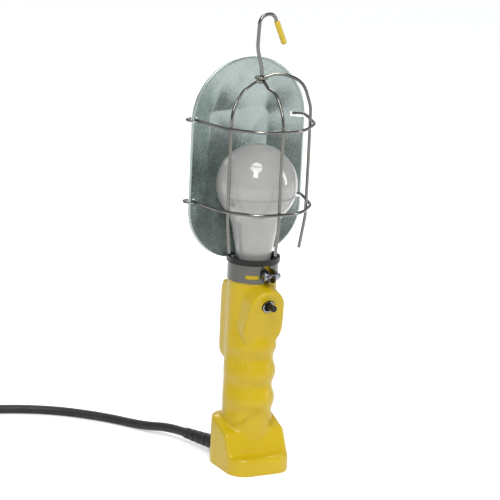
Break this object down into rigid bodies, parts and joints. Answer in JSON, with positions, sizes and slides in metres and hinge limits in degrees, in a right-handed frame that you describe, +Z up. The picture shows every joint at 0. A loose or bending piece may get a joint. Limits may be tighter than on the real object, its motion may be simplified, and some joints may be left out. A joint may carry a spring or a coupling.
{
  "type": "work light",
  "caption": "Hand-held caged work light with moulded handle, sheet reflector, hinged wire guard, swivelling hook, toggle switch, outlet and coiled mains lead.",
  "frame": {"origin": "on the underside of the foot, on the axis of the handle, neck and bulb", "axes": "+Z up along the handle to the hook; -Y is the front, where the guard, the switch and the finger ridges are; the lead leaves at the back left"},
  "size_m": [0.399, 0.2494, 0.3788],
  "materials": {
    "yellow_plastic": "satin moulded",
    "black_plastic": "satin moulded",
    "black_rubber": "matte",
    "reflector_zinc": "mottled zinc plating",
    "guard_nickel": "bright nickel plating",
    "hook_chrome": "bright plating",
    "yellow_vinyl": "dipped vinyl",
    "band_steel": "bright plated",
    "fastener_steel": "zinc plated",
    "opal_glass": "white coated, glossy",
    "clear_glass": "clear",
    "cap_aluminium": "rolled",
    "contact_brass": "bright",
    "filament_tungsten": "drawn",
    "insulation_black": "matte",
    "insulation_white": "matte",
    "insulation_green": "matte"
  },
  "bodies": {
    "handle": {"handle_front_shell": "yellow_plastic", "handle_back_shell": "yellow_plastic", "lampholder_body": "black_plastic", "lampholder_ring": "black_plastic", "switch_body": "black_plastic", "outlet_body": "black_plastic", "cord_clip": "black_plastic", "cord_tie": "black_plastic", "strain_relief": "black_rubber", "cord_tube": "black_rubber", "cord_coil": "black_rubber", "cord_tail": "black_rubber", "plug_body": "black_rubber", "reflector": "reflector_zinc", "clamp_band": "band_steel", "handle_screws": "fastener_steel", "ring_screws": "fastener_steel", "clamp_screw": "fastener_steel", "clamp_nut": "fastener_steel", "reflector_rivets": "fastener_steel", "switch_bushing": "fastener_steel", "socket_screw_shell": "contact_brass", "socket_centre_contact": "contact_brass", "switch_terminals": "contact_brass", "outlet_contact_hot": "contact_brass", "outlet_contact_neutral": "contact_brass", "outlet_contact_ground": "contact_brass", "plug_blade_hot": "contact_brass", "plug_blade_neutral": "contact_brass", "plug_ground_pin": "contact_brass", "wire_hot": "insulation_black", "wire_neutral": "insulation_white", "wire_ground": "insulation_green"},
    "guard": {"guard_upper_hoop": "guard_nickel", "guard_lower_hoop": "guard_nickel", "guard_side_arch": "guard_nickel", "guard_centre_wire": "guard_nickel"},
    "hook": {"hook_wire": "hook_chrome", "hook_head": "hook_chrome", "hook_sleeve": "yellow_vinyl"},
    "toggle": {"toggle_lever": "black_plastic"},
    "bulb": {"bulb_insulator": "black_plastic", "bulb_glass": "opal_glass", "bulb_stem": "clear_glass", "bulb_cap": "cap_aluminium", "bulb_tip_contact": "cap_aluminium", "bulb_filament": "filament_tungsten"}
  },
  "joints": [
    {"name": "guard_hinge", "type": "hinge", "parent": "handle", "child": "guard", "pos_m": [-0.0505, 0.0226, 0.2557], "axis": [0, 0, -1], "range_deg": [0, 110]},
    {"name": "hook_swivel", "type": "hinge", "parent": "guard", "child": "hook", "pos_m": [0, 0, 0.326], "axis": [0, 0, 1], "continuous": true},
    {"name": "switch_toggle", "type": "hinge", "parent": "handle", "child": "toggle", "pos_m": [0, -0.02828, 0.1428], "axis": [1, 0, 0], "range_deg": [0, 32]},
    {"name": "bulb_screw", "type": "hinge", "parent": "handle", "child": "bulb", "pos_m": [0, 0, 0.153], "axis": [0, 0, -1], "continuous": true}
  ]
}
